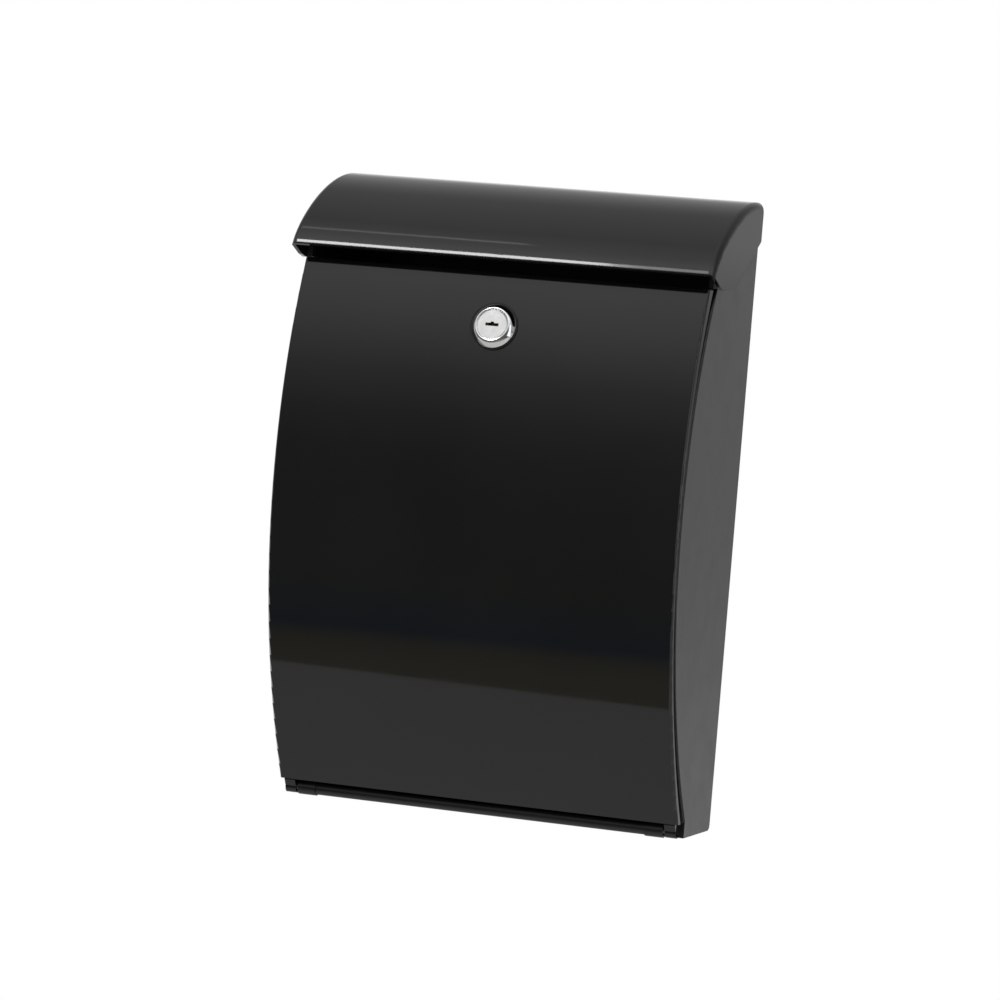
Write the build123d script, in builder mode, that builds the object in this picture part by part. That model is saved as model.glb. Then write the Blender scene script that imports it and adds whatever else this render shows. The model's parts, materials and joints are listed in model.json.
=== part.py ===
"""Wall mounted mailbox: an open moulded housing, a bowed front door hinged along the bottom,
a rain lid hinged along the top, and a cam lock in the door.

Frame: the origin is the centre of the four wall screw holes, on the wall plane.
+Z is up, -Y points away from the wall, and X runs along the width. Units are millimetres.
"""
from build123d import *
from math import hypot, sqrt
import os

os.makedirs("parts", exist_ok=True)

# ---------------------------------------------------------------- overall sizes
HALF_WIDTH = 140.3          # outer face of the housing's side walls
SIDE_WALL = 3.0
BACK_WALL = 2.5
FLOOR = 2.5
BOTTOM = -210.0
BACK_TOP = 203.5            # top edge of the back wall
CORNER = 4.0                # rounding along the bottom rear edge

# ---------------------------------------------------------------- curved outlines, as (y, z) points
DOOR_ARC = ((-75.6, -200.0), (-131.3, -25.0), (-104.0, 150.0))    # front surface of the door
RETURN_ARC = ((-69.2, -200.0), (-127.2, -25.0), (-96.0, 150.0))   # rear edge of the door's side returns
WALL_ARC = ((-60.5, -200.0), (-125.5, -2.0), (-88.4, 150.0))      # front edge of the side walls
WALL_FOOT = WALL_ARC[0][0]  # below the arc the side walls go straight down

# ---------------------------------------------------------------- lid
LID_PIVOT = (-16.2, 202.8)
BARREL_R = 7.0              # rolled rear edge of the lid, round the pivot
LID_SKIN = 2.5
LID_HALF_WIDTH = 146.0
LIP = (-117.7, 159.2)
LIP_HANDLE = (-110.2, 177.4)
CROWN = (LID_PIVOT[0], LID_PIVOT[1] + BARREL_R)
CROWN_HANDLE = (-62.0, CROWN[1])
CHEEK_REAR = -13.2
LIP_DROP = 0.8
CHEEK_LOWER_EDGE = ((-101.5, 151.6), (-94.0, 149.9), (-67.0, 150.3), (-18.3, 181.0))
LID_ROUND = 4.5             # rounding between the lid's top and its cheeks
LID_CLEAR = 1.0             # gap between the lid's skin and the side walls under it
LID_PIN_R = 2.0
EAR_R = 6.8
EAR_GAP = 1.2               # side gap between the housing's ear and the lid
BARREL_HALF = HALF_WIDTH - SIDE_WALL - EAR_GAP
BARREL_END = 12.0           # solid length at each end of the rolled edge, for the pins
LID_BOSS_R = 5.0
LID_PIN = (127.0, 144.8)    # from and to, along X
LID_RIBS = (-70.0, 0.0, 70.0)
LID_RIB_DEPTH = 4.0
RIB = 1.8                   # thickness of every rib
PIN_CHAMFER = 0.3

# ---------------------------------------------------------------- door
DOOR_HALF_WIDTH = 140.0
DOOR_SKIN = 2.6
DOOR_RETURN = 2.2           # thickness of the side returns
DOOR_FLANGE = 2.5           # thickness of the top and bottom flanges
DOOR_BOTTOM = DOOR_ARC[0][1]
DOOR_TOP = DOOR_ARC[2][1]
DOOR_ROUND = 2.0            # rounding of the door's long front edges
DOOR_RIBS = (-150.0, -100.0, -50.0, 0.0, 50.0)    # heights
DOOR_RIB_DEPTH = 3.0
DOOR_RIB_HALF = 132.0       # half the length of each rib

# ---------------------------------------------------------------- door hinge
HINGE = (-66.0, -205.6)
HINGE_PIN_R = 2.0
RUNNING_GAP = 0.05          # radial clearance of every turning fit
DOOR_EAR_R = 4.4
DOOR_EAR = (130.0, 137.5)   # from and to, along X
DOOR_EAR_FRONT = -73.3      # front and rear of the web that carries each ear
DOOR_EAR_REAR = -70.0
EAR_CAP = 1.7               # closed end of each ear
KNUCKLE_R = 4.9
KNUCKLE = (116.0, 128.5)
HINGE_PIN = (119.5, DOOR_EAR[1] - EAR_CAP - 0.3)
STRIP_R = 4.2               # rounded nose of the housing's low front strip, about the hinge
STRIP_TOP = HINGE[1] + STRIP_R
STRIP_BACK = -57.0
STRIP_GROOVE = 3.2          # wall left round the hollow behind the nose

# ---------------------------------------------------------------- housing details
RIM = 2.5                   # inner rim that stands inside the door's returns
RIM_CLEAR = 1.6             # gap between the rim and the inside of the door
RIM_BOTTOM = -192.0
RIM_TOP = 146.0
SHOULDER = (-98.0, 150.6)   # front top corner of the side walls, above the door
BAR_FOOT = (-98.8, 126.0)   # lower front edge of the crossbar
BAR_TOP = 150.0
BAR_THICK = 2.5
BAR_SHELF_BACK = -80.0
WALL_HOLE_R = 3.0
WALL_HOLE_SPACING = (200.0, 280.0)
WALL_PAD = (9.0, 1.5)       # radius and height of the pad round each screw hole
DRAIN_R = 2.5
DRAIN_SPACING = 70.0
LEDGE_REACH = 5.1           # rain ledge along the top of the back wall
LEDGE = 2.5

# ---------------------------------------------------------------- lock, heights along its own axis
LOCK_Z = 114.4
SPOT_R = 16.6               # flat seat for the lock in the door's face
SPOT_DEPTH = 0.4
BOSS_R = 17.0
BOSS_BACK = -5.0
GASKET_R = 16.0
GASKET_TOP = 0.4
BEZEL_R = 15.0
BEZEL_RIM = 1.2
BEZEL_TOP = 5.2
BEZEL_TOP_R = 11.4
PLUG_HEAD_R = 10.2
PLUG_FACE = 4.9
PLUG_SEAT = 2.6
BARREL_BODY_R = 9.4
BARREL_FLAT = 8.2           # half the width across the lock body's two flats
LOCK_BODY_BACK = -15.2
PLUG_R = 7.0
NUT_ACROSS = 24.0
NUT_THICK = 4.0
KEYWAY = (9.0, 2.0)
KEYWAY_BACK = -9.5
KEY_NOTCH = (2.4, 0.9)
WAFERS = 5
WAFER_FIRST = 0.0           # level of the middle of the first wafer
WAFER_WINDOW = (8.0, 2.4)
SPRING_LENGTH = 4.0
WAFER_PITCH = 2.0
WAFER = (11.4, 6.6, 0.9)
WAFER_GAP = 0.15
SPRING_R = 0.45
SQUARE = 7.0                # square drive for the stop washer and the cam
SQUARE_GAP = 0.05
STOP_THICK = 1.2
STOP_RING_R = 7.1           # inside of the stop ring on the rear of the lock body
STOP_OPENING = ((3.4, 15.0), (-15.0, -3.4))
STOP_TAB = 3.0
CAM_HUB_R = 8.0
CAM_FRONT = -16.8
CAM_THICK = 1.6
CAM_BACK = CAM_FRONT - CAM_THICK
CAM_LENGTH = 34.0
CAM_WIDTH = 14.0
SCREW_R = 2.0
SCREW_HEAD_R = 4.0
SCREW_HEAD = 2.6
SCREW_LENGTH = 9.0         # head included
SCREW_BORE = 5.4
WASHER_R = 4.4
WASHER_THICK = 0.8


def circle_through(arc):
    """Centre y, centre z and radius of the circle through three (y, z) points."""
    (ay, az), (by, bz), (cy, cz) = arc
    a2, b2, c2 = ay * ay + az * az, by * by + bz * bz, cy * cy + cz * cz
    d = 2 * (ay * (bz - cz) + by * (cz - az) + cy * (az - bz))
    y = (a2 * (bz - cz) + b2 * (cz - az) + c2 * (az - bz)) / d
    z = (a2 * (cy - by) + b2 * (ay - cy) + c2 * (by - ay)) / d
    return y, z, hypot(ay - y, az - z)


def on_arc(arc, z, inset=0.0):
    """Point at height z on an arc, moved towards the wall by an inset measured along its radius."""
    centre_y, centre_z, radius = circle_through(arc)
    return centre_y - sqrt((radius - inset) ** 2 - (z - centre_z) ** 2), z


def arc_span(arc, low, high, inset=0.0):
    """Three points of an arc, between two heights."""
    return on_arc(arc, low, inset), on_arc(arc, (low + high) / 2, inset), on_arc(arc, high, inset)


def arch(inset):
    """Bezier points of the lid's arch from lip to crown, moved inwards."""
    run, rise = LIP_HANDLE[0] - LIP[0], LIP_HANDLE[1] - LIP[1]
    front = (rise / hypot(run, rise) * inset, -run / hypot(run, rise) * inset)
    low = [(y + front[0], z + front[1]) for y, z in (LIP, LIP_HANDLE)]
    high = [(y, z - inset) for y, z in (CROWN_HANDLE, CROWN)]
    return low + high


def yz(x=0.0):
    """Sketch plane across the part at a given x: its axes are the row's Y and Z."""
    return Plane.YZ.offset(x)


WALL_INSIDE = HALF_WIDTH - SIDE_WALL
FAR = 400.0                 # beyond the part, for open sides of a cut

lock_y, _ = on_arc(DOOR_ARC, LOCK_Z)
door_centre_y, door_centre_z, door_radius = circle_through(DOOR_ARC)
lock_normal = (0, (lock_y - door_centre_y) / door_radius, (LOCK_Z - door_centre_z) / door_radius)
lock_plane = Plane(origin=(0, lock_y, LOCK_Z), x_dir=(1, 0, 0), z_dir=lock_normal)


# ================================================================ housing
with BuildPart() as rear_housing:
    # The side outline: everything under the lid's arch that lies behind the line of the front edges.
    with BuildSketch(yz()) as body_outline:
        with BuildLine():
            roof = Bezier(*arch(LID_SKIN + LID_CLEAR))
            Polyline(roof @ 1, (0, CROWN[1]), (0, BOTTOM), (-FAR, BOTTOM), (-FAR, (roof @ 0).Y), roof @ 0)
        make_face()
        with BuildLine():
            front_edge = ThreePointArc(*arc_span(WALL_ARC, DOOR_BOTTOM, DOOR_TOP))
            Polyline(front_edge @ 1, ((front_edge @ 1).X, SHOULDER[1]), SHOULDER, (SHOULDER[0], FAR),
                     (0, FAR), (0, BOTTOM), (WALL_FOOT, BOTTOM), front_edge @ 0)
        make_face(mode=Mode.INTERSECT)
        with Locations((0, BACK_TOP)):
            Rectangle(-LID_PIVOT[0], FAR, align=(Align.MAX, Align.MIN), mode=Mode.SUBTRACT)
        fillet(body_outline.vertices().group_by(Axis.Y)[0].sort_by(Axis.X)[-1], CORNER)
        with Locations(LID_PIVOT):
            Circle(EAR_R)
    extrude(amount=HALF_WIDTH, both=True)
    edge_band = rear_housing.edges().filter_by(GeomType.CIRCLE).sort_by(SortBy.LENGTH)[-2:]
    fillet(edge_band, 1.2)
    # Hollow, open to the front above a low strip, and open at the top under the lid.
    with BuildSketch(yz()):
        with BuildLine():
            Polyline((-BACK_WALL, FAR), (-BACK_WALL, BOTTOM + FLOOR), (STRIP_BACK, BOTTOM + FLOOR),
                     (STRIP_BACK, STRIP_TOP), (-FAR, STRIP_TOP), (-FAR, FAR), close=True)
        make_face()
    extrude(amount=WALL_INSIDE, both=True, mode=Mode.SUBTRACT)
    # Rain ledge along the top of the back wall, close behind the lid's rolled edge.
    with BuildSketch(yz()):
        with Locations((-BACK_WALL, BACK_TOP)):
            Rectangle(LEDGE_REACH, LEDGE, align=(Align.MAX, Align.MAX))
    extrude(amount=WALL_INSIDE, both=True)
    # Crossbar over the door opening: a web parallel to the lock's face, and a shelf running back.
    lean = lock_normal[2] / -lock_normal[1]
    bar_top_y = BAR_FOOT[0] + lean * (BAR_TOP - BAR_FOOT[1])
    with BuildSketch(yz()):
        with BuildLine():
            Polyline(BAR_FOOT, (bar_top_y, BAR_TOP), (BAR_SHELF_BACK, BAR_TOP),
                     (BAR_SHELF_BACK, BAR_TOP - BAR_THICK),
                     (bar_top_y + BAR_THICK, BAR_TOP - BAR_THICK),
                     (BAR_FOOT[0] + BAR_THICK, BAR_FOOT[1]), close=True)
        make_face()
    extrude(amount=WALL_INSIDE, both=True)
    # Inner rims that stand inside the door's side returns.
    with BuildSketch(yz(WALL_INSIDE)):
        with BuildLine():
            nose = ThreePointArc(*arc_span(DOOR_ARC, RIM_BOTTOM, RIM_TOP, DOOR_SKIN + RIM_CLEAR))
            root = ThreePointArc(*arc_span(WALL_ARC, RIM_BOTTOM, RIM_TOP, 8.0))
            Line(nose @ 0, root @ 0)
            Line(nose @ 1, root @ 1)
        make_face()
    rims = extrude(amount=-RIM)
    mirror(rims, about=Plane.YZ)
    # Low front strip: a rounded nose about the hinge axis, hollow from behind.
    with BuildSketch(yz()):
        with Locations(HINGE):
            Circle(STRIP_R)
        with Locations((STRIP_BACK, HINGE[1])):
            Rectangle(STRIP_BACK - HINGE[0], 2 * STRIP_R, align=(Align.MAX, Align.CENTER))
    extrude(amount=KNUCKLE[1], both=True)
    with BuildSketch(yz()):
        with Locations((STRIP_BACK, (STRIP_TOP + BOTTOM + FLOOR - STRIP_GROOVE) / 2)):
            Rectangle(STRIP_BACK - HINGE[0], STRIP_TOP - STRIP_GROOVE - BOTTOM - FLOOR,
                      align=(Align.MAX, Align.CENTER))
    extrude(amount=KNUCKLE[0] - RIB, both=True, mode=Mode.SUBTRACT)
    # Hinge knuckles at the ends of the strip, bored for the pins.
    with BuildSketch(yz(KNUCKLE[0])):
        with Locations(HINGE):
            Circle(KNUCKLE_R)
    knuckles = extrude(amount=KNUCKLE[1] - KNUCKLE[0])
    mirror(knuckles, about=Plane.YZ)
    with BuildSketch(yz(HINGE_PIN[0])):
        with Locations(HINGE):
            Circle(HINGE_PIN_R)
    pin_bore = extrude(amount=KNUCKLE[1] - HINGE_PIN[0], mode=Mode.SUBTRACT)
    mirror(pin_bore, about=Plane.YZ, mode=Mode.SUBTRACT)
    # Pivot holes in the ears, screw holes with their pads, and drain holes.
    with BuildSketch(yz()):
        with Locations(LID_PIVOT):
            Circle(LID_PIN_R + RUNNING_GAP)
    extrude(amount=HALF_WIDTH, both=True, mode=Mode.SUBTRACT)
    with BuildSketch(Plane.XZ.offset(BACK_WALL)):
        with GridLocations(*WALL_HOLE_SPACING, 2, 2):
            Circle(WALL_PAD[0])
    extrude(amount=WALL_PAD[1])
    with BuildSketch(Plane.XZ):
        with GridLocations(*WALL_HOLE_SPACING, 2, 2):
            Circle(WALL_HOLE_R)
    extrude(amount=BACK_WALL + WALL_PAD[1], mode=Mode.SUBTRACT)
    with BuildSketch(Plane.XY.offset(BOTTOM)):
        with Locations((0, STRIP_BACK / 2)):
            with GridLocations(DRAIN_SPACING, 1, 4, 1):
                Circle(DRAIN_R)
    extrude(amount=FLOOR, mode=Mode.SUBTRACT)

rear_housing.part.label = "rear_housing"
export_step(rear_housing.part, "parts/rear_housing.step")


# ================================================================ lid
with BuildPart() as cheek_ends:
    # Round rear ends of the two cheeks, about the pivot, with the same rounding as the arch.
    with BuildSketch(yz()):
        with Locations(LID_PIVOT):
            Circle(BARREL_R)
    extrude(amount=LID_HALF_WIDTH, both=True)
    fillet(cheek_ends.edges().filter_by(GeomType.CIRCLE), LID_ROUND)
    with BuildSketch(yz()):
        with Locations(LID_PIVOT):
            Circle(2 * BARREL_R)
    extrude(amount=LID_HALF_WIDTH - LID_SKIN, both=True, mode=Mode.SUBTRACT)

with BuildPart() as lid:
    # Outside: a block under the arch with its top edges rounded.
    with BuildSketch(yz()):
        with BuildLine():
            arch_outside = Bezier(*arch(0.0))
            Polyline(arch_outside @ 0, (LIP[0], 0), (CROWN[0], 0), arch_outside @ 1)
        make_face()
    extrude(amount=LID_HALF_WIDTH, both=True)
    fillet(lid.edges().filter_by(GeomType.BEZIER), LID_ROUND)
    with BuildSketch(yz()):
        with Locations((CROWN[0], LID_PIVOT[1])):
            Rectangle(CHEEK_REAR - CROWN[0], LID_PIVOT[1], align=(Align.MIN, Align.MAX))
    extrude(amount=LID_HALF_WIDTH, both=True)
    # Cut away everything below the cheeks' lower edge.
    with BuildSketch(yz()):
        with BuildLine():
            Polyline((-FAR, LIP[1] - LIP_DROP), (LIP[0], LIP[1] - LIP_DROP), *CHEEK_LOWER_EDGE,
                     (CHEEK_REAR, CHEEK_LOWER_EDGE[-1][1] + 3), (CHEEK_REAR, 0), (-FAR, 0), close=True)
        make_face()
    extrude(amount=LID_HALF_WIDTH, both=True, mode=Mode.SUBTRACT)
    # Hollow between the cheeks, open below, in front and behind.
    with BuildSketch(yz()):
        with BuildLine():
            arch_inside = Bezier(*arch(LID_SKIN))
            Polyline(arch_inside @ 1, (CROWN[0] + 3 * BARREL_R, (arch_inside @ 1).Y),
                     (CROWN[0] + 3 * BARREL_R, 0), ((arch_inside @ 0).X, 0), arch_inside @ 0)
        make_face()
    extrude(amount=LID_HALF_WIDTH - LID_SKIN, both=True, mode=Mode.SUBTRACT)
    add(cheek_ends.part)
    # Rolled rear edge between the ears, hollowed from below except at its ends.
    with BuildSketch(yz()):
        with Locations(LID_PIVOT):
            Circle(BARREL_R)
    extrude(amount=BARREL_HALF, both=True)
    with BuildSketch(yz()):
        with Locations(LID_PIVOT):
            Circle(BARREL_R - LID_SKIN)
            Rectangle(2 * (BARREL_R - LID_SKIN), 2 * BARREL_R, align=(Align.CENTER, Align.MAX))
    extrude(amount=BARREL_HALF - BARREL_END, both=True, mode=Mode.SUBTRACT)
    # Ribs under the arch.
    for x in LID_RIBS:
        with BuildSketch(yz(x)):
            with BuildLine():
                rib_top = Bezier(*arch(LID_SKIN / 2))
                rib_foot = Bezier(*arch(LID_SKIN + LID_RIB_DEPTH))
                Line(rib_top @ 0, rib_foot @ 0)
                Line(rib_top @ 1, rib_foot @ 1)
            make_face()
        extrude(amount=RIB / 2, both=True)
    # Room for the housing's ears, a boss inside each cheek, and the pin holes.
    with BuildSketch(yz(BARREL_HALF)):
        with Locations(LID_PIVOT):
            Circle(EAR_R + 1)
    ear_room = extrude(amount=SIDE_WALL + 2 * EAR_GAP, mode=Mode.SUBTRACT)
    mirror(ear_room, about=Plane.YZ, mode=Mode.SUBTRACT)
    with BuildSketch(yz(HALF_WIDTH + EAR_GAP)):
        with Locations(LID_PIVOT):
            Circle(LID_BOSS_R)
    cheek_boss = extrude(amount=LID_HALF_WIDTH - HALF_WIDTH - EAR_GAP - 1)
    mirror(cheek_boss, about=Plane.YZ)
    with BuildSketch(yz(LID_PIN[0])):
        with Locations(LID_PIVOT):
            Circle(LID_PIN_R)
    pin_hole = extrude(amount=LID_PIN[1] - LID_PIN[0], mode=Mode.SUBTRACT)
    mirror(pin_hole, about=Plane.YZ, mode=Mode.SUBTRACT)

lid.part.label = "lid"
export_step(lid.part, "parts/lid.step")


# ================================================================ front door
with BuildPart() as front_door:
    # Bowed panel, as deep as its side returns, with rounded front edges.
    with BuildSketch(yz()):
        with BuildLine():
            face = ThreePointArc(*DOOR_ARC)
            returns = ThreePointArc(*RETURN_ARC)
            Line(face @ 0, returns @ 0)
            Line(face @ 1, returns @ 1)
        make_face()
    extrude(amount=DOOR_HALF_WIDTH, both=True)
    arcs = front_door.edges().filter_by(GeomType.CIRCLE).sort_by(Axis.Y)
    fillet(arcs[:2], DOOR_ROUND)
    long_edges = front_door.edges().filter_by(Axis.X)
    fillet(long_edges.group_by(Axis.Z)[-1].sort_by(Axis.Y)[0], DOOR_ROUND / 2)
    # Hollow behind the skin, between the returns and the top and bottom flanges.
    with BuildSketch(yz()):
        with BuildLine():
            inside = ThreePointArc(*arc_span(DOOR_ARC, DOOR_BOTTOM + DOOR_FLANGE,
                                             DOOR_TOP - DOOR_FLANGE, DOOR_SKIN))
            Polyline(inside @ 1, (0, DOOR_TOP - DOOR_FLANGE), (0, DOOR_BOTTOM + DOOR_FLANGE), inside @ 0)
        make_face()
    extrude(amount=DOOR_HALF_WIDTH - DOOR_RETURN, both=True, mode=Mode.SUBTRACT)
    # Ribs across the back of the skin, which is flat in that direction.
    for z in DOOR_RIBS:
        with BuildSketch(yz()):
            with BuildLine():
                Polyline(on_arc(DOOR_ARC, z - RIB / 2, DOOR_SKIN / 2), on_arc(DOOR_ARC, z + RIB / 2, DOOR_SKIN / 2),
                         on_arc(DOOR_ARC, z + RIB / 2, DOOR_SKIN + DOOR_RIB_DEPTH),
                         on_arc(DOOR_ARC, z - RIB / 2, DOOR_SKIN + DOOR_RIB_DEPTH), close=True)
            make_face()
        extrude(amount=DOOR_RIB_HALF, both=True)
    # Hinge ears at the bottom corners, each a closed eye on a web under the flange.
    for side in (1, -1):
        with BuildSketch(yz(side * DOOR_EAR[0])):
            with Locations(HINGE):
                Circle(DOOR_EAR_R)
            with BuildLine():
                Polyline((HINGE[0] - DOOR_EAR_R + 0.3, HINGE[1]), (DOOR_EAR_FRONT, DOOR_BOTTOM - 1),
                         (DOOR_EAR_FRONT, DOOR_BOTTOM + DOOR_FLANGE / 2),
                         (DOOR_EAR_REAR, DOOR_BOTTOM + DOOR_FLANGE / 2), (DOOR_EAR_REAR, DOOR_BOTTOM - 1),
                         (HINGE[0] + DOOR_EAR_R / 2, HINGE[1] + 3), close=True)
            make_face()
        extrude(amount=side * (DOOR_EAR[1] - DOOR_EAR[0]))
        with BuildSketch(yz(side * DOOR_EAR[0])):
            with Locations(HINGE):
                Circle(HINGE_PIN_R + RUNNING_GAP)
        extrude(amount=side * (DOOR_EAR[1] - EAR_CAP - DOOR_EAR[0]), mode=Mode.SUBTRACT)
    # Flat seat and boss for the lock, and its hole with two flats.
    with BuildSketch(lock_plane.offset(BOSS_BACK)):
        Circle(BOSS_R)
    extrude(amount=-BOSS_BACK - SPOT_DEPTH - DOOR_SKIN / 2)
    with BuildSketch(lock_plane.offset(-SPOT_DEPTH)):
        Circle(SPOT_R)
    extrude(amount=BOSS_R, mode=Mode.SUBTRACT)
    with BuildSketch(lock_plane.offset(BOSS_BACK)):
        Circle(BARREL_BODY_R + 0.1)
        Rectangle(2 * BARREL_FLAT + 0.2, 4 * BARREL_BODY_R, mode=Mode.INTERSECT)
    extrude(amount=BOSS_R, mode=Mode.SUBTRACT)

front_door.part.label = "front_door"
export_step(front_door.part, "parts/front_door.step")


# ================================================================ hinge pins
for side, name in ((1, "right"), (-1, "left")):
    with BuildPart() as lid_pin:
        with BuildSketch(yz(side * LID_PIN[0])):
            with Locations(LID_PIVOT):
                Circle(LID_PIN_R)
        extrude(amount=side * (LID_PIN[1] - LID_PIN[0]))
        chamfer(lid_pin.edges().filter_by(GeomType.CIRCLE), PIN_CHAMFER)
    lid_pin.part.label = "lid_pivot_pin_" + name
    export_step(lid_pin.part, "parts/lid_pivot_pin_" + name + ".step")

    with BuildPart() as door_pin:
        with BuildSketch(yz(side * HINGE_PIN[0])):
            with Locations(HINGE):
                Circle(HINGE_PIN_R)
        extrude(amount=side * (HINGE_PIN[1] - HINGE_PIN[0]))
        chamfer(door_pin.edges().filter_by(GeomType.CIRCLE), PIN_CHAMFER)
    door_pin.part.label = "door_hinge_pin_" + name
    export_step(door_pin.part, "parts/door_hinge_pin_" + name + ".step")


# ================================================================ lock, fixed in the door
with BuildPart() as lock_gasket:
    with BuildSketch(lock_plane.offset(-SPOT_DEPTH)):
        Circle(GASKET_R)
        Circle(BARREL_BODY_R + 0.1, mode=Mode.SUBTRACT)
    extrude(amount=SPOT_DEPTH + GASKET_TOP)

lock_gasket.part.label = "lock_gasket"
export_step(lock_gasket.part, "parts/lock_gasket.step")

with BuildPart() as lock_barrel:
    # Bezel: a rim, a cone, a rounded nose and a flat seat for the plug's head.
    with BuildSketch(Plane(origin=lock_plane.origin, x_dir=(1, 0, 0), z_dir=-lock_plane.y_dir)):
        with BuildLine():
            Polyline((PLUG_R + RUNNING_GAP, GASKET_TOP), (BEZEL_R, GASKET_TOP), (BEZEL_R, BEZEL_RIM),
                     (BEZEL_TOP_R + 0.7, BEZEL_TOP - 0.3), (BEZEL_TOP_R, BEZEL_TOP),
                     (PLUG_HEAD_R + RUNNING_GAP, BEZEL_TOP - 0.3), (PLUG_HEAD_R + RUNNING_GAP, PLUG_SEAT),
                     (PLUG_R + RUNNING_GAP, PLUG_SEAT), close=True)
        make_face()
    revolve(axis=Axis(lock_plane.origin, lock_plane.z_dir))
    with BuildSketch(lock_plane.offset(LOCK_BODY_BACK)):
        Circle(BARREL_BODY_R)
        Rectangle(2 * BARREL_FLAT, 4 * BARREL_BODY_R, mode=Mode.INTERSECT)
        Circle(PLUG_R + RUNNING_GAP, mode=Mode.SUBTRACT)
    extrude(amount=GASKET_TOP - LOCK_BODY_BACK)
    # Stop ring on the rear face, open over the quarter turn that the stop washer's tab makes.
    with BuildSketch(lock_plane.offset(LOCK_BODY_BACK)):
        Circle(BARREL_FLAT)
        Circle(STOP_RING_R, mode=Mode.SUBTRACT)
        with BuildLine():
            Polyline((0, 0), STOP_OPENING[0], (-BEZEL_R, BEZEL_R), STOP_OPENING[1], close=True)
        make_face(mode=Mode.SUBTRACT)
    extrude(amount=-STOP_THICK)

lock_barrel.part.label = "lock_barrel"
export_step(lock_barrel.part, "parts/lock_barrel.step")

with BuildPart() as lock_nut:
    with BuildSketch(lock_plane.offset(BOSS_BACK)):
        RegularPolygon(NUT_ACROSS / 2, 6, major_radius=False)
        Circle(BARREL_BODY_R + 0.05, mode=Mode.SUBTRACT)
    extrude(amount=-NUT_THICK)

lock_nut.part.label = "lock_nut"
export_step(lock_nut.part, "parts/lock_nut.step")


# ================================================================ lock, turning
wafer_levels = [WAFER_FIRST - WAFER_PITCH * i for i in range(WAFERS)]

with BuildPart() as lock_plug:
    with BuildSketch(lock_plane.offset(PLUG_SEAT + RUNNING_GAP)):
        Circle(PLUG_HEAD_R)
    extrude(amount=PLUG_FACE - PLUG_SEAT - RUNNING_GAP)
    chamfer(lock_plug.edges().group_by(Axis(lock_plane.origin, lock_plane.z_dir))[-1], 0.4)
    with BuildSketch(lock_plane.offset(PLUG_SEAT + RUNNING_GAP)):
        Circle(PLUG_R)
    extrude(amount=LOCK_BODY_BACK - PLUG_SEAT)
    with BuildSketch(lock_plane.offset(CAM_BACK + 0.2)):
        Rectangle(SQUARE, SQUARE)
    extrude(amount=LOCK_BODY_BACK - CAM_BACK + 1)
    # Keyway with its warding notch.
    with BuildSketch(lock_plane.offset(PLUG_FACE)):
        Rectangle(*KEYWAY)
        with Locations((0, KEYWAY[1] / 2)):
            Rectangle(KEY_NOTCH[0], KEY_NOTCH[1], align=(Align.CENTER, Align.MIN))
    extrude(amount=KEYWAY_BACK - PLUG_FACE, mode=Mode.SUBTRACT)
    # A cross slot for each wafer, with a pocket for its spring.
    for level in wafer_levels:
        with BuildSketch(lock_plane.offset(level + WAFER[2] / 2 + WAFER_GAP / 2)):
            Rectangle(3 * PLUG_R, WAFER[1] + 2 * WAFER_GAP)
            with Locations((0, WAFER[1] / 2)):
                Rectangle(SPRING_LENGTH, 2 * SPRING_R + 2 * WAFER_GAP, align=(Align.CENTER, Align.MIN))
        extrude(amount=-WAFER[2] - WAFER_GAP, mode=Mode.SUBTRACT)
    # Tapped hole for the cam screw.
    with BuildSketch(lock_plane.offset(CAM_BACK)):
        Circle(SCREW_R)
    extrude(amount=SCREW_BORE, mode=Mode.SUBTRACT)

lock_plug.part.label = "lock_plug"
export_step(lock_plug.part, "parts/lock_plug.step")

with BuildPart() as lock_wafers:
    for level in wafer_levels:
        with BuildSketch(lock_plane.offset(level + WAFER[2] / 2)):
            Rectangle(WAFER[0], WAFER[1])
            Rectangle(*WAFER_WINDOW, mode=Mode.SUBTRACT)
        extrude(amount=-WAFER[2])

lock_wafers.part.label = "lock_wafers"
export_step(lock_wafers.part, "parts/lock_wafers.step")

with BuildPart() as wafer_springs:
    for level in wafer_levels:
        spring_axis = lock_plane.origin + lock_plane.z_dir * level
        spring_axis = spring_axis + lock_plane.y_dir * (WAFER[1] / 2 + 2 * WAFER_GAP + SPRING_R)
        with BuildSketch(Plane(origin=spring_axis, x_dir=lock_plane.y_dir, z_dir=(1, 0, 0))):
            Circle(SPRING_R)
            Circle(SPRING_R / 2, mode=Mode.SUBTRACT)
        extrude(amount=SPRING_LENGTH / 2 - WAFER_GAP, both=True)

wafer_springs.part.label = "wafer_springs"
export_step(wafer_springs.part, "parts/wafer_springs.step")

with BuildPart() as stop_washer:
    with BuildSketch(lock_plane.offset(LOCK_BODY_BACK - 0.2)):
        Circle(STOP_RING_R - 0.2)
        with Locations((-STOP_RING_R + 1.5, 0)):
            Rectangle(BARREL_FLAT - STOP_RING_R + 2, STOP_TAB, align=(Align.MAX, Align.CENTER))
        Rectangle(SQUARE + 2 * SQUARE_GAP, SQUARE + 2 * SQUARE_GAP, mode=Mode.SUBTRACT)
    extrude(amount=-STOP_THICK)

stop_washer.part.label = "stop_washer"
export_step(stop_washer.part, "parts/stop_washer.step")

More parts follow.
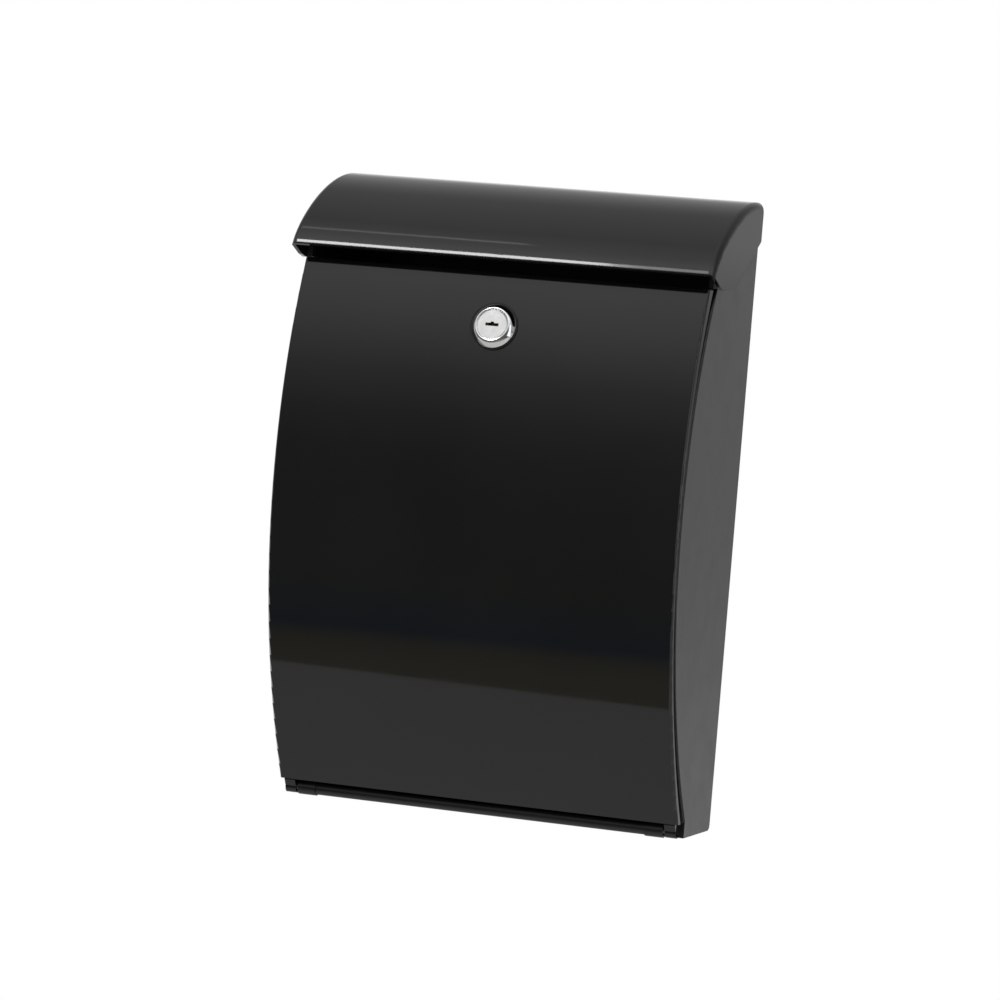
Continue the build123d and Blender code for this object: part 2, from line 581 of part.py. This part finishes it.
with BuildPart() as lock_cam:
    # Points sideways when unlocked, and swings up behind the crossbar.
    with BuildSketch(lock_plane.offset(CAM_FRONT)):
        Circle(CAM_HUB_R)
        with BuildLine():
            Polyline((0, CAM_WIDTH / 2), (-CAM_LENGTH + 3, CAM_WIDTH / 2), (-CAM_LENGTH, CAM_WIDTH / 2 - 3),
                     (-CAM_LENGTH, 3 - CAM_WIDTH / 2), (-CAM_LENGTH + 3, -CAM_WIDTH / 2),
                     (0, -CAM_WIDTH / 2), close=True)
        make_face()
        Rectangle(SQUARE + 2 * SQUARE_GAP, SQUARE + 2 * SQUARE_GAP, mode=Mode.SUBTRACT)
    extrude(amount=-CAM_THICK)

lock_cam.part.label = "lock_cam"
export_step(lock_cam.part, "parts/lock_cam.step")

with BuildPart() as cam_lock_washer:
    with BuildSketch(lock_plane.offset(CAM_BACK)):
        Circle(WASHER_R)
        Circle(SCREW_R + 0.2, mode=Mode.SUBTRACT)
    extrude(amount=-WASHER_THICK)

cam_lock_washer.part.label = "cam_lock_washer"
export_step(cam_lock_washer.part, "parts/cam_lock_washer.step")

with BuildPart() as cam_screw:
    with BuildSketch(lock_plane.offset(CAM_BACK - WASHER_THICK)):
        Circle(SCREW_HEAD_R)
    extrude(amount=-SCREW_HEAD)
    fillet(cam_screw.edges().group_by(Axis(lock_plane.origin, lock_plane.z_dir))[0], 1.0)
    with BuildSketch(lock_plane.offset(CAM_BACK - WASHER_THICK - SCREW_HEAD)):
        Rectangle(4.4, 0.9)
        Rectangle(0.9, 4.4)
    extrude(amount=1.4, mode=Mode.SUBTRACT)
    with BuildSketch(lock_plane.offset(CAM_BACK - WASHER_THICK)):
        Circle(SCREW_R)
    extrude(amount=SCREW_LENGTH - SCREW_HEAD - 1)

cam_screw.part.label = "cam_screw"
export_step(cam_screw.part, "parts/cam_screw.step")
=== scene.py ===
"""Wall mounted mailbox: the looks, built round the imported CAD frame.

Metres, +Z up, -Y away from the wall. The origin is the centre of the four wall screw holes.
"""
import bmesh
import bpy
import json
from math import cos, pi, radians, sin, tan
from mathutils import Matrix, Vector
import numpy as np


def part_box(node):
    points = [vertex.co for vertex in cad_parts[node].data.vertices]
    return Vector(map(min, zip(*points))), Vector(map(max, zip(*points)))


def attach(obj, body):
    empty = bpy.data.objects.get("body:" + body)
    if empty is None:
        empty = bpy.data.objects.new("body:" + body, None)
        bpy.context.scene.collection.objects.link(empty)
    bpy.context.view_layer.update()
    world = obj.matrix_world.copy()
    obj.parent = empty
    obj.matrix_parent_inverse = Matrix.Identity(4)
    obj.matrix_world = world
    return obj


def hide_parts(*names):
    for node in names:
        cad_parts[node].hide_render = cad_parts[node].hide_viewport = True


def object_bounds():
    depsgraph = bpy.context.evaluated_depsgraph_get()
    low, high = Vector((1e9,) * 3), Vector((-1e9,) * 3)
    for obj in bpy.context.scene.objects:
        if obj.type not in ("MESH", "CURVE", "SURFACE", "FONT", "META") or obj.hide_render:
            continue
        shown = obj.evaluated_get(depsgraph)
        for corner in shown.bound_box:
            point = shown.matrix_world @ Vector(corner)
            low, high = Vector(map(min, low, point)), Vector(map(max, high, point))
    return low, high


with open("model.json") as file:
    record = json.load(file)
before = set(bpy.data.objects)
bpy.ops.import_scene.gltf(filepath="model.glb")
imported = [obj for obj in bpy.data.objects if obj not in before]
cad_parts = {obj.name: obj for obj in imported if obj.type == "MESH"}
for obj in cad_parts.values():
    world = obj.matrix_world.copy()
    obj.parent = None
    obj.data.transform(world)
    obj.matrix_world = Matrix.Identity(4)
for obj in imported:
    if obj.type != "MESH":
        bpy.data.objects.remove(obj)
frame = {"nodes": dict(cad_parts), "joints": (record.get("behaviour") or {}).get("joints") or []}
cad_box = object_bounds()
MM = 0.001
ACROSS = Vector((1, 0, 0))

joints = {joint["name"]: joint for joint in frame["joints"]}
LOCK = Vector(joints["lock_turn"]["pos_m"])             # lock axis, where it leaves the door's face
LOCK_OUT = -Vector(joints["lock_turn"]["axis"]).normalized()
LOCK_UP = LOCK_OUT.cross(ACROSS)


# ---------------------------------------------------------------- camera
YAW, PITCH, ROLL = radians(18.70), radians(2.75), radians(4.65)
LENS, SENSOR = 159.8, 36.0  # mm
DISTANCE = 2.95856
TARGET = Vector((-0.0088, -0.050, -0.0010))


def add_camera():
    """A long lens to the right of the mailbox and a little above it, rolled as the photographer held it."""
    forward = Vector((-sin(YAW) * cos(PITCH), cos(YAW) * cos(PITCH), -sin(PITCH)))
    right = forward.cross(Vector((0, 0, 1))).normalized()
    up = right.cross(forward)
    rolled_right = cos(ROLL) * right + sin(ROLL) * up
    rolled_up = cos(ROLL) * up - sin(ROLL) * right
    camera = bpy.data.objects.new("camera", bpy.data.cameras.new("camera"))
    camera.data.lens = LENS
    camera.data.sensor_width = SENSOR
    turn = Matrix((rolled_right, rolled_up, -forward)).transposed().to_4x4()
    camera.matrix_world = Matrix.Translation(TARGET - DISTANCE * forward) @ turn
    bpy.context.collection.objects.link(camera)
    bpy.context.scene.camera = camera


# ---------------------------------------------------------------- node helpers
MIX_FIRST, MIX_SECOND, MIX_RESULT = 6, 7, 2     # the colour sockets of a Mix node


class Nodes:
    """Short calls for wiring a node tree."""

    def __init__(self, tree):
        self.tree = tree

    def add(self, kind, **values):
        """A new node, with values for its properties or its inputs."""
        node = self.tree.nodes.new(kind)
        for key, value in values.items():
            if key in node.bl_rna.properties:
                setattr(node, key, value)
            else:
                node.inputs[key].default_value = value
        return node

    def link(self, source, target):
        self.tree.links.new(source, target)

    def math(self, operation, first, second=0.0):
        """A Math node on numbers or sockets."""
        node = self.add("ShaderNodeMath", operation=operation)
        for socket, value in zip(node.inputs, (first, second)):
            if isinstance(value, (int, float)):
                socket.default_value = value
            else:
                self.link(value, socket)
        return node.outputs[0]

    def noise(self, vector, scale, detail, roughness=0.5):
        node = self.add("ShaderNodeTexNoise", Scale=scale, Detail=detail, Roughness=roughness)
        self.link(vector, node.inputs["Vector"])
        return node.outputs["Fac"]

    def ramp(self, value, *stops):
        """Colour ramp from (position, grey or colour) stops."""
        node = self.add("ShaderNodeValToRGB")
        elements = node.color_ramp.elements
        while len(elements) < len(stops):
            elements.new(0.5)
        for element, (position, colour) in zip(elements, stops):
            element.position = position
            grey = isinstance(colour, (int, float))
            element.color = (colour, colour, colour, 1) if grey else (*colour, 1)
        self.link(value, node.inputs[0])
        return node.outputs[0]

    def spread(self, value, low, high, out_low, out_high):
        """Map low to high onto out_low to out_high."""
        node = self.add("ShaderNodeMapRange")
        for name, number in zip(("From Min", "From Max", "To Min", "To Max"), (low, high, out_low, out_high)):
            node.inputs[name].default_value = number
        self.link(value, node.inputs[0])
        return node.outputs[0]

    def mix(self, share, first, second):
        """The first colour where the share is 0, the second where it is 1."""
        node = self.add("ShaderNodeMix", data_type="RGBA")
        self.link(share, node.inputs["Factor"])
        self.link(first, node.inputs[MIX_FIRST])
        self.link(second, node.inputs[MIX_SECOND])
        return node.outputs[MIX_RESULT]


def new_material(name):
    """A material with nodes, and its shader."""
    material = bpy.data.materials.new(name)
    material.use_nodes = True
    return material, material.node_tree.nodes["Principled BSDF"]


# ---------------------------------------------------------------- world and stage
BACKDROP = 1.0              # what the camera sees behind the mailbox
FRONT_FADE = (-0.35, 0.15)  # direction's y where the front sky begins to fade and where it has gone
RIGHT_FADE = (0.08, 0.22)   # direction's x where the right sky begins behind the mailbox and where it is full

# What the mailbox mirrors from each side. A stop is (elevation in degrees, grey level or colour).
FRONT_SKY = (
    (-90, 0.5), (-46, (0.27, 0.25, 0.17)), (-36, (0.25, 0.235, 0.17)), (-32, (0.19, 0.18, 0.135)),
    (-30.2, (0.06, 0.09, 0.13)), (-26, (0.08, 0.10, 0.125)), (-20, (0.11, 0.11, 0.09)), (-4, 0.10), (5, 0.12),
    (12, 0.18), (20, 0.35), (26, 0.58), (32, 0.82), (48, 1.25), (65, 1.05), (80, 0.88), (90, 0.72))
BACK_SKY = ((-90, 0.9), (-8, 0.9), (0, 1.15), (7, 1.05), (20, 0.50), (45, 0.33), (70, 0.47), (90, 0.72))
RIGHT_SKY = (
    (-90, 0.9), (-9, 0.80), (-6, 0.56), (-3.5, 0.22), (-0.4, 0.22), (0.5, 0.47), (7, 0.47), (20, 0.32),
    (45, 0.30), (70, 0.42), (90, 0.60))

FLOOR_DROP = 0.55           # from the mailbox's bottom down to the floor
FLOOR_FRONT = -0.793        # where the floor's front edge crosses the middle
FLOOR_SKEW = 0.09           # how the front edge runs, so that its image crosses the door
FLOOR_BACK, FLOOR_HALF = 1.2, 2.0
FLOOR_COLOUR, FLOOR_ROUGH = (0.78, 0.78, 0.77, 1), 0.7


def sky(nodes, height, stops):
    """A sky's colour at a height, which is 0 straight down and 1 straight up."""
    return nodes.ramp(height, *[(0.5 + elevation / 180.0, value) for elevation, value in stops])


def add_world():
    """A pale studio with a sky in front, one behind and one behind on the right, and white to the camera."""
    world = bpy.data.worlds.new("studio")
    world.use_nodes = True
    bpy.context.scene.world = world
    nodes = Nodes(world.node_tree)
    world.node_tree.nodes.clear()
    axes = nodes.add("ShaderNodeSeparateXYZ")
    nodes.link(nodes.add("ShaderNodeTexCoord").outputs["Generated"], axes.inputs[0])
    x, y, z = axes.outputs
    height = nodes.math("ADD", nodes.math("DIVIDE", nodes.math("ARCSINE", z), pi), 0.5)
    right_share = nodes.spread(x, *RIGHT_FADE, 0.0, 1.0)
    front_share = nodes.spread(y, *FRONT_FADE, 1.0, 0.0)
    behind = nodes.mix(right_share, sky(nodes, height, BACK_SKY), sky(nodes, height, RIGHT_SKY))
    around = nodes.mix(front_share, behind, sky(nodes, height, FRONT_SKY))
    room = nodes.add("ShaderNodeBackground", Strength=1.0)
    nodes.link(around, room.inputs["Color"])
    backdrop = nodes.add("ShaderNodeBackground", Color=(1, 1, 1, 1), Strength=BACKDROP)
    choose = nodes.add("ShaderNodeMixShader")
    nodes.link(nodes.add("ShaderNodeLightPath").outputs["Is Camera Ray"], choose.inputs[0])
    nodes.link(room.outputs[0], choose.inputs[1])
    nodes.link(backdrop.outputs[0], choose.inputs[2])
    nodes.link(choose.outputs[0], nodes.add("ShaderNodeOutputWorld").inputs[0])


def add_floor():
    """A pale table top below the mailbox."""
    low = cad_box[0][2] - FLOOR_DROP
    corners = [(-FLOOR_HALF, FLOOR_FRONT - FLOOR_SKEW * FLOOR_HALF),
               (FLOOR_HALF, FLOOR_FRONT + FLOOR_SKEW * FLOOR_HALF),
               (FLOOR_HALF, FLOOR_BACK), (-FLOOR_HALF, FLOOR_BACK)]
    mesh = bpy.data.meshes.new("floor")
    mesh.from_pydata([(x, y, low) for x, y in corners], [], [(0, 1, 2, 3)])
    floor = bpy.data.objects.new("floor", mesh)
    bpy.context.collection.objects.link(floor)
    pale, shader = new_material("pale_floor")
    shader.inputs["Base Color"].default_value = FLOOR_COLOUR
    shader.inputs["Roughness"].default_value = FLOOR_ROUGH
    floor.data.materials.append(pale)


# ---------------------------------------------------------------- lights
LIP_DROP = 43.6 * MM        # from the lid's hinge down to its lip
STRIP_RISE = radians(52.0)  # height of the strip lights as seen from the lid's lip
STRIP_NEAR = 0.85           # how far in front of the lip they hang
STRIPS = (                  # name, place across, size and radiance
    ("strip_light", -0.58, (0.44, 0.23), 15.0),
    ("strip_light_right", -0.25, (0.22, 0.23), 3.0))
TUBE_FROM_LIP = Vector((-0.38, -0.05, 0.80))
TUBE_SIZE, TUBE_RADIANCE = (0.26, 0.03), 1.2
SIDE_PLACE, SIDE_AIM = Vector((1.6, -0.62, 0.15)), Vector((0.14, -0.10, 0.0))
SIDE_SIZE, SIDE_RADIANCE = (0.5, 1.4), 1.1


def add_area_light(name, place, aim, size, radiance):
    """A rectangular softbox that faces its aim point."""
    light = bpy.data.lights.new(name, "AREA")
    light.shape = "RECTANGLE"
    light.size, light.size_y = size
    light.energy = pi * size[0] * size[1] * radiance
    lamp = bpy.data.objects.new(name, light)
    lamp.location = place
    lamp.rotation_euler = (aim - place).to_track_quat("-Z", "Y").to_euler()
    lamp.visible_camera = False
    bpy.context.collection.objects.link(lamp)


def add_lights():
    """Strips that the lid mirrors above its lip, a tube over the lid, and a tall light on the right."""
    lip = Vector((0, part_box("lid")[0][1], joints["lid_hinge"]["pos_m"][2] - LIP_DROP))
    for name, across, size, radiance in STRIPS:
        aim = lip + across * ACROSS
        place = aim + Vector((0, -STRIP_NEAR, STRIP_NEAR * tan(STRIP_RISE)))
        add_area_light(name, place, aim, size, radiance)
    tube = lip + TUBE_FROM_LIP
    add_area_light("overhead_tube", tube, tube - Vector((0, 0, 1)), TUBE_SIZE, TUBE_RADIANCE)
    add_area_light("side_light", SIDE_PLACE, SIDE_AIM, SIDE_SIZE, SIDE_RADIANCE)


# ---------------------------------------------------------------- materials
DRIFT_BAND = (0.3, 0.7)     # noise values that get the darkest and the lightest tint
GLOSS_BAND = (0.25, 0.75)   # noise values that get the lowest and the highest roughness
PLASTIC_TINTS, METAL_TINTS = (0.85, 1.2), (0.92, 1.05)
PLASTIC_IOR = 1.5
METAL_GRAIN_DEPTH = 0.004 * MM


def textured(name, base, tints, rough, drift, cloud, grain, grain_depth):
    """Colour that drifts between two tints, uneven gloss and a fine grain.

    Drift, cloud and grain are noises: scale, detail and, if it isn't 0.5, roughness.
    """
    material, shader = new_material(name)
    nodes = Nodes(material.node_tree)
    where = nodes.add("ShaderNodeTexCoord").outputs["Object"]
    tinted = [tuple(min(1.0, c * tint) for c in base) for tint in tints]
    nodes.link(nodes.ramp(nodes.noise(where, *drift), *zip(DRIFT_BAND, tinted)), shader.inputs["Base Color"])
    nodes.link(nodes.spread(nodes.noise(where, *cloud), *GLOSS_BAND, *rough), shader.inputs["Roughness"])
    bump = nodes.add("ShaderNodeBump", Strength=1.0, Distance=grain_depth)
    nodes.link(nodes.noise(where, *grain), bump.inputs["Height"])
    nodes.link(bump.outputs[0], shader.inputs["Normal"])
    return material, shader


def plastic(name, base, rough, grain_scale, grain_depth):
    """Moulded plastic or rubber in a near-black colour."""
    material, shader = textured(name, base, PLASTIC_TINTS, rough, drift=(9.0, 3.0), cloud=(45.0, 4.0, 0.6),
                                grain=(grain_scale, 3.0, 0.55), grain_depth=grain_depth)
    shader.inputs["IOR"].default_value = PLASTIC_IOR
    return material


def metal(name, base, rough):
    """Plated or bare metal with faint uneven polish."""
    material, shader = textured(name, base, METAL_TINTS, rough, drift=(160.0, 3.0), cloud=(420.0, 3.0),
                                grain=(900.0, 2.0), grain_depth=METAL_GRAIN_DEPTH)
    shader.inputs["Metallic"].default_value = 1.0
    return material


BLACK = (0.011, 0.0112, 0.0118)
SATIN_BLACK = (0.016, 0.0163, 0.017)
# Base colour, least and greatest roughness, and for plastic the scale and the depth of its grain.
MATERIALS = {
    "door_plastic": plastic("door_plastic", BLACK, (0.04, 0.07), 260.0, 0.003 * MM),
    "lid_plastic": plastic("lid_plastic", BLACK, (0.06, 0.10), 260.0, 0.004 * MM),
    "housing_plastic": plastic("housing_plastic", SATIN_BLACK, (0.28, 0.36), 1500.0, 0.02 * MM),
    "gasket_rubber": plastic("gasket_rubber", (0.006, 0.006, 0.006), (0.6, 0.75), 1800.0, 0.02 * MM),
    "lock_chrome": metal("lock_chrome", (0.80, 0.81, 0.82), (0.05, 0.11)),
    "plug_chrome": metal("plug_chrome", (0.86, 0.86, 0.86), (0.16, 0.26)),
    # The wafers' base colour is brass darkened almost to black: painted shade for the deep keyway they sit
    # in.
    "wafer_brass": metal("wafer_brass", (0.13, 0.095, 0.045), (0.40, 0.55)),
    "zinc_steel": metal("zinc_steel", (0.62, 0.63, 0.62), (0.26, 0.40)),
    "pin_steel": metal("pin_steel", (0.60, 0.60, 0.60), (0.18, 0.30)),
}


def dress_frame():
    """Each CAD node's slots get the finished material of the same name."""
    for node in frame["nodes"].values():
        for place, old in enumerate(node.data.materials):
            node.data.materials[place] = MATERIALS[old.name.split(".")[0]]


# ---------------------------------------------------------------- curved shells
# The lid's arch, as a Bezier, and the door's face, as three points of an arc, both (y, z) in mm.
# With each go half the shell's width and the radius that rounds its two ends.
LID_ARCH = ((-117.7, 159.2), (-110.2, 177.4), (-62.0, 209.8), (-16.2, 209.8))
LID_HALF, LID_ROUND = 146.0, 4.5
DOOR_FACE = ((-75.6, -200.0), (-131.3, -25.0), (-104.0, 150.0))
DOOR_HALF, DOOR_ROUND = 140.0, 2.0
CURVE_STEPS = 1500
ON_SURFACE = 0.08           # how far from the true surface a point still counts as on it, in mm
SAME_SIDE = 0.8             # least cosine between a face and the exact normals of its corners
TINY = 1e-6


def bezier_curve(points):
    """Points and outward normals along a cubic Bezier."""
    p = np.array(points)
    t = np.linspace(0.0, 1.0, CURVE_STEPS)[:, None]
    place = (1 - t) ** 3 * p[0] + 3 * (1 - t) ** 2 * t * p[1] + 3 * (1 - t) * t * t * p[2] + t ** 3 * p[3]
    along = (1 - t) ** 2 * (p[1] - p[0]) + 2 * (1 - t) * t * (p[2] - p[1]) + t * t * (p[3] - p[2])
    normal = np.stack((-along[:, 1], along[:, 0]), axis=1)
    return place, normal / np.linalg.norm(normal, axis=1)[:, None]


def arc_curve(points):
    """Points and outward normals along the circle through three points."""
    p = np.array(points)
    centre = np.linalg.solve(2 * (p[1:] - p[0]), (p[1:] ** 2).sum(axis=1) - (p[0] ** 2).sum())
    first, last = (np.arctan2(*(q - centre)[::-1]) % (2 * pi) for q in (p[0], p[2]))
    angle = np.linspace(first, last, CURVE_STEPS)
    normal = np.stack((np.cos(angle), np.sin(angle)), axis=1)
    return centre + np.linalg.norm(p[0] - centre) * normal, normal


def true_normal(point, curve, half, rounding):
    """Normal of a rounded shell at a point, and how far the point lies from that shell."""
    place, normal = curve
    offset = place - point[1:]
    nearest = int((offset ** 2).sum(axis=1).argmin())
    depth = float(offset[nearest] @ normal[nearest])
    over = abs(point[0]) - (half - rounding)
    rise = rounding - depth
    reach = float(np.hypot(over, rise))
    if over <= 0 or rise < 0 or reach < TINY:
        return np.array((0.0, *normal[nearest])), abs(depth)
    out = np.array((np.sign(point[0]) * over, *(normal[nearest] * rise)))
    return out / reach, abs(reach - rounding)


def smooth_shell(node, name, body, curve, half, rounding):
    """A copy of a CAD node whose curved outside is shaded by its exact curve, not by its triangles."""
    data = frame["nodes"][node].data.copy()
    data.name = name
    exact = [true_normal(np.array(v.co) / MM, curve, half, rounding) for v in data.vertices]
    normals = [tuple(corner.vector) for corner in data.corner_normals]
    for face in data.polygons:
        corners = [exact[data.loops[i].vertex_index] for i in face.loop_indices]
        flat = np.array(face.normal)
        if all(miss < ON_SURFACE and float(out @ flat) > SAME_SIDE for out, miss in corners):
            for i, (out, _) in zip(face.loop_indices, corners):
                normals[i] = tuple(float(c) for c in out)
    data.normals_split_custom_set(normals)
    piece = bpy.data.objects.new(name, data)
    bpy.context.collection.objects.link(piece)
    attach(piece, body)
    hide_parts(node)


def add_shells():
    """The lid and the door with exact shading."""
    smooth_shell("lid", "lid_shell", "lid", bezier_curve(LID_ARCH), LID_HALF, LID_ROUND)
    smooth_shell("front_door", "door_shell", "door",
                 arc_curve(DOOR_FACE), DOOR_HALF, DOOR_ROUND)


# ---------------------------------------------------------------- lock
# Radii and distances out along the lock's axis are in mm.
TURNS = 128                 # points round the lock
BORE, RECESS = 7.05, 10.25  # radii of the plug's bore and of the recess for its head
SEAT, BEZEL_FOOT, BODY_END = 2.6, 0.4, -15.2
BEZEL_R = 15.0
BEZEL_NOSE = (              # (radius, out) from the recess over the nose and down the flank
    (RECESS, 4.72), (10.42, 5.02), (10.75, 5.18), (11.2, 5.2), (11.6, 5.1), (12.0, 4.85), (12.6, 4.3),
    (13.2, 3.62), (13.75, 2.9), (14.25, 2.2), (14.65, 1.62), (14.9, 1.2), (BEZEL_R, 0.9))
BODY_R, BODY_FLAT = 9.4, 8.2
BODY_CHAMFER = 0.5
THREAD_PITCH, THREAD_DEPTH = 1.0, 0.28
RING_INNER, RING_OUTER = 7.1, 8.2
RING_ROOT, RING_END = BODY_END + 0.2, -16.4     # the stop ring begins inside the body and ends behind it
RING_ARC = (radians(192.8), radians(437.2))
RING_TURNS = 80


def lock_point(x, up, out):
    """A point given in mm across, up and out along the lock's axis."""
    return LOCK + (ACROSS * x + LOCK_UP * up + LOCK_OUT * out) * MM


def sweep(mesh, profile, start, stop, steps, flat=None):
    """Turn a closed (radius, out) outline about the lock's axis. A flat cuts both sides of the part behind
    the bezel."""
    whole = stop - start >= 2 * pi
    rings = []
    for step in range(steps if whole else steps + 1):
        angle = start + (stop - start) * step / steps
        ring = []
        for radius, out in profile:
            x = radius * cos(angle)
            if flat and out < BEZEL_FOOT:
                x = max(-flat, min(flat, x))
            ring.append(mesh.verts.new(lock_point(x, radius * sin(angle), out)))
        rings.append(ring)
    following = rings[1:] + rings[:1] if whole else rings[1:]
    for one, two in zip(rings, following):
        for i in range(len(profile)):
            j = (i + 1) % len(profile)
            mesh.faces.new((one[i], one[j], two[j], two[i]))
    if not whole:
        mesh.faces.new(rings[0])
        mesh.faces.new(rings[-1][::-1])


CREASE = radians(35.0)      # a sharper edge than this stays sharp


def finish_mesh(mesh, name, body, slot):
    """Make an object of a bmesh: outward normals, smooth shading with creases, its ride and its material."""
    bmesh.ops.recalc_face_normals(mesh, faces=mesh.faces)
    for face in mesh.faces:
        face.smooth = True
    for edge in mesh.edges:
        edge.smooth = len(edge.link_faces) == 2 and edge.calc_face_angle() < CREASE
    data = bpy.data.meshes.new(name)
    mesh.to_mesh(data)
    mesh.free()
    piece = bpy.data.objects.new(name, data)
    bpy.context.collection.objects.link(piece)
    data.materials.append(MATERIALS[slot])
    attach(piece, body)
    return piece


def add_lock_body():
    """Bezel with a rounded flank and nose, on a grooved body with two flats and its stop ring."""
    bezel = [(BORE, SEAT), (RECESS, SEAT), *BEZEL_NOSE, (BEZEL_R, BEZEL_FOOT), (BODY_R, BEZEL_FOOT)]
    grooves = []
    out = BEZEL_FOOT - THREAD_PITCH
    while out > BODY_END + THREAD_PITCH:
        grooves += [(BODY_R, out), (BODY_R - THREAD_DEPTH, out - THREAD_PITCH / 2)]
        out -= THREAD_PITCH
    end = [(BODY_R, BODY_END + BODY_CHAMFER), (BODY_R - BODY_CHAMFER, BODY_END), (BORE, BODY_END)]
    ring = [(RING_INNER, RING_ROOT), (RING_OUTER, RING_ROOT), (RING_OUTER, RING_END), (RING_INNER, RING_END)]
    mesh = bmesh.new()
    sweep(mesh, bezel + grooves + end, 0.0, 2 * pi, TURNS, BODY_FLAT)
    sweep(mesh, ring, *RING_ARC, RING_TURNS)
    body = finish_mesh(mesh, "lock_body", "door", "lock_chrome")
    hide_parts("lock_barrel")


add_camera()
add_world()
add_floor()
add_lights()
dress_frame()
add_shells()
add_lock_body()
bpy.context.scene.view_settings.view_transform = "Standard"
